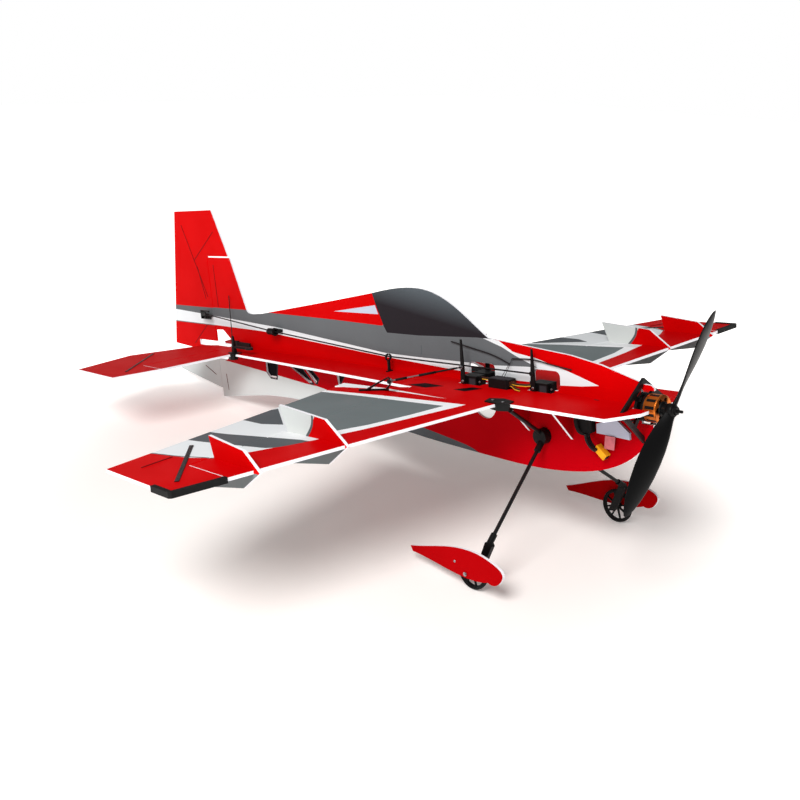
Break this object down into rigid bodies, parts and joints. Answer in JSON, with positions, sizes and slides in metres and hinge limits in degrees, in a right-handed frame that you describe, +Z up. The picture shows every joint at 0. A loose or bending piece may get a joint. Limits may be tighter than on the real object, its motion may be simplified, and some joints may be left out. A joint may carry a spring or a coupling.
{
  "type": "rc foam airplane",
  "caption": "Profile-style foam radio-controlled aerobatic aeroplane with hinged control surfaces, servo linkages, carbon undercarriage, spoked wheels, outrunner motor and propeller.",
  "frame": {"origin": "Middle of the bounding box in plan, on the ground plane the aeroplane stands on", "axes": "+X towards the nose, +Y to port, +Z up; the aeroplane stands nose-up on its wheels and the heel of the fin"},
  "size_m": [0.9405, 0.86, 0.2883],
  "materials": {
    "foam_film": "satin printed film on expanded foam",
    "carbon": "satin carbon fibre",
    "black_plastic": "moulded satin plastic",
    "steel": "machined",
    "bell_metal": "anodised copper orange",
    "wire": "silicone insulation",
    "connector": "moulded nylon"
  },
  "bodies": {
    "airframe": {"fuselage_deck": "foam_film", "keel_upper": "foam_film", "keel_lower": "foam_film", "wing_panel_right": "foam_film", "wing_panel_left": "foam_film", "wing_spar": "carbon", "stabilizer": "foam_film", "inner_fence_right": "foam_film", "inner_fence_left": "foam_film", "outer_fence_right": "foam_film", "outer_fence_left": "foam_film", "motor_mount": "carbon", "motor_stator": "steel", "motor_mount_screws": "steel", "rudder_servo": "black_plastic", "elevator_servo": "black_plastic", "aileron_servo_right": "black_plastic", "aileron_servo_left": "black_plastic", "receiver": "black_plastic", "receiver_antennas": "wire", "speed_controller": "black_plastic", "power_lead": "wire", "power_connector": "connector", "gear_hub": "black_plastic", "gear_struts": "carbon", "gear_braces": "carbon", "gear_root_brackets": "black_plastic", "axle_brackets": "black_plastic", "wheel_axles": "steel", "wheel_pant_right": "foam_film", "wheel_pant_left": "foam_film", "tail_brackets": "black_plastic", "tail_brace_rods": "carbon", "pushrod_guides": "black_plastic", "foam_stiffeners": "foam_film"},
    "aileron_r": {"aileron_right": "foam_film", "tip_bumper_right": "black_plastic", "aileron_horn_right": "black_plastic"},
    "aileron_l": {"aileron_left": "foam_film", "tip_bumper_left": "black_plastic", "aileron_horn_left": "black_plastic"},
    "elevators": {"elevator_right": "foam_film", "elevator_left": "foam_film", "elevator_joiner": "carbon", "elevator_horn": "black_plastic"},
    "rudder_body": {"rudder": "foam_film", "rudder_horn": "black_plastic"},
    "rudder_arm": {"rudder_servo_arm": "black_plastic"},
    "elevator_arm": {"elevator_servo_arm": "black_plastic"},
    "aileron_arm_r": {"aileron_servo_arm_right": "black_plastic"},
    "aileron_arm_l": {"aileron_servo_arm_left": "black_plastic"},
    "rudder_rod": {"rudder_pushrod": "carbon"},
    "elevator_rod": {"elevator_pushrod": "carbon"},
    "aileron_rod_r": {"aileron_pushrod_right": "steel"},
    "aileron_rod_l": {"aileron_pushrod_left": "steel"},
    "spinner": {"propeller": "black_plastic", "motor_bell": "bell_metal"},
    "wheel_r": {"wheel_right": "black_plastic"},
    "wheel_l": {"wheel_left": "black_plastic"}
  },
  "joints": [
    {"name": "aileron_right_hinge", "type": "hinge", "parent": "airframe", "child": "aileron_r", "pos_m": [0.18408, -0.2, 0.1619], "axis": [-0.1751, 0.9842, -0.0271], "range_deg": [-35, 35]},
    {"name": "aileron_left_hinge", "type": "hinge", "parent": "airframe", "child": "aileron_l", "pos_m": [0.18408, 0.2, 0.1619], "axis": [0.1751, 0.9842, 0.0271], "range_deg": [-35, 35]},
    {"name": "elevator_hinge", "type": "hinge", "parent": "airframe", "child": "elevators", "pos_m": [-0.29037, 0, 0.08845], "axis": [0, 1, 0], "range_deg": [-32, 32]},
    {"name": "rudder_hinge", "type": "hinge", "parent": "airframe", "child": "rudder_body", "pos_m": [-0.34837, 0, 0.11995], "axis": [-0.153, 0, 0.9882], "range_deg": [-30, 30]},
    {"name": "rudder_arm_pivot", "type": "hinge", "parent": "airframe", "child": "rudder_arm", "pos_m": [0.2958, -0.01, 0.18476], "axis": [0, 1, 0], "range_deg": [-30, 30]},
    {"name": "elevator_arm_pivot", "type": "hinge", "parent": "airframe", "child": "elevator_arm", "pos_m": [0.12384, 0.0191, 0.15814], "axis": [0, 1, 0], "range_deg": [-32, 32]},
    {"name": "aileron_right_arm_pivot", "type": "hinge", "parent": "airframe", "child": "aileron_arm_r", "pos_m": [0.2029, -0.0191, 0.17038], "axis": [0, 1, 0], "range_deg": [-35, 35]},
    {"name": "aileron_left_arm_pivot", "type": "hinge", "parent": "airframe", "child": "aileron_arm_l", "pos_m": [0.2029, 0.0191, 0.17038], "axis": [0, 1, 0], "range_deg": [-35, 35]},
    {"name": "rudder_rod_pivot", "type": "hinge", "parent": "rudder_arm", "child": "rudder_rod", "pos_m": [0.29335, -0.012, 0.20058], "axis": [0, 1, 0], "range_deg": [-30, 30]},
    {"name": "elevator_rod_pivot", "type": "hinge", "parent": "elevator_arm", "child": "elevator_rod", "pos_m": [0.1214, 0.0224, 0.17395], "axis": [0, 1, 0], "range_deg": [-32, 32]},
    {"name": "aileron_right_rod_pivot", "type": "hinge", "parent": "aileron_arm_r", "child": "aileron_rod_r", "pos_m": [0.20045, -0.0224, 0.18619], "axis": [0, 1, 0], "range_deg": [-35, 35]},
    {"name": "aileron_left_rod_pivot", "type": "hinge", "parent": "aileron_arm_l", "child": "aileron_rod_l", "pos_m": [0.20045, 0.0224, 0.18619], "axis": [0, 1, 0], "range_deg": [-35, 35]},
    {"name": "propeller_shaft", "type": "hinge", "parent": "airframe", "child": "spinner", "pos_m": [0.45722, 0, 0.20419], "axis": [0.9882, 0, 0.153], "continuous": true},
    {"name": "wheel_right_axle", "type": "hinge", "parent": "airframe", "child": "wheel_r", "pos_m": [0.32636, -0.121, 0.02], "axis": [0, 1, 0], "continuous": true},
    {"name": "wheel_left_axle", "type": "hinge", "parent": "airframe", "child": "wheel_l", "pos_m": [0.32636, 0.121, 0.02], "axis": [0, 1, 0], "continuous": true}
  ],
  "couplings": [
    {"joint": "rudder_arm_pivot", "follows": "rudder_hinge", "ratio": 1},
    {"joint": "rudder_rod_pivot", "follows": "rudder_hinge", "ratio": -1},
    {"joint": "elevator_arm_pivot", "follows": "elevator_hinge", "ratio": 1},
    {"joint": "elevator_rod_pivot", "follows": "elevator_hinge", "ratio": -1},
    {"joint": "aileron_left_hinge", "follows": "aileron_right_hinge", "ratio": -1},
    {"joint": "aileron_right_arm_pivot", "follows": "aileron_right_hinge", "ratio": 1},
    {"joint": "aileron_right_rod_pivot", "follows": "aileron_right_hinge", "ratio": -1},
    {"joint": "aileron_left_arm_pivot", "follows": "aileron_right_hinge", "ratio": -1},
    {"joint": "aileron_left_rod_pivot", "follows": "aileron_right_hinge", "ratio": 1}
  ]
}
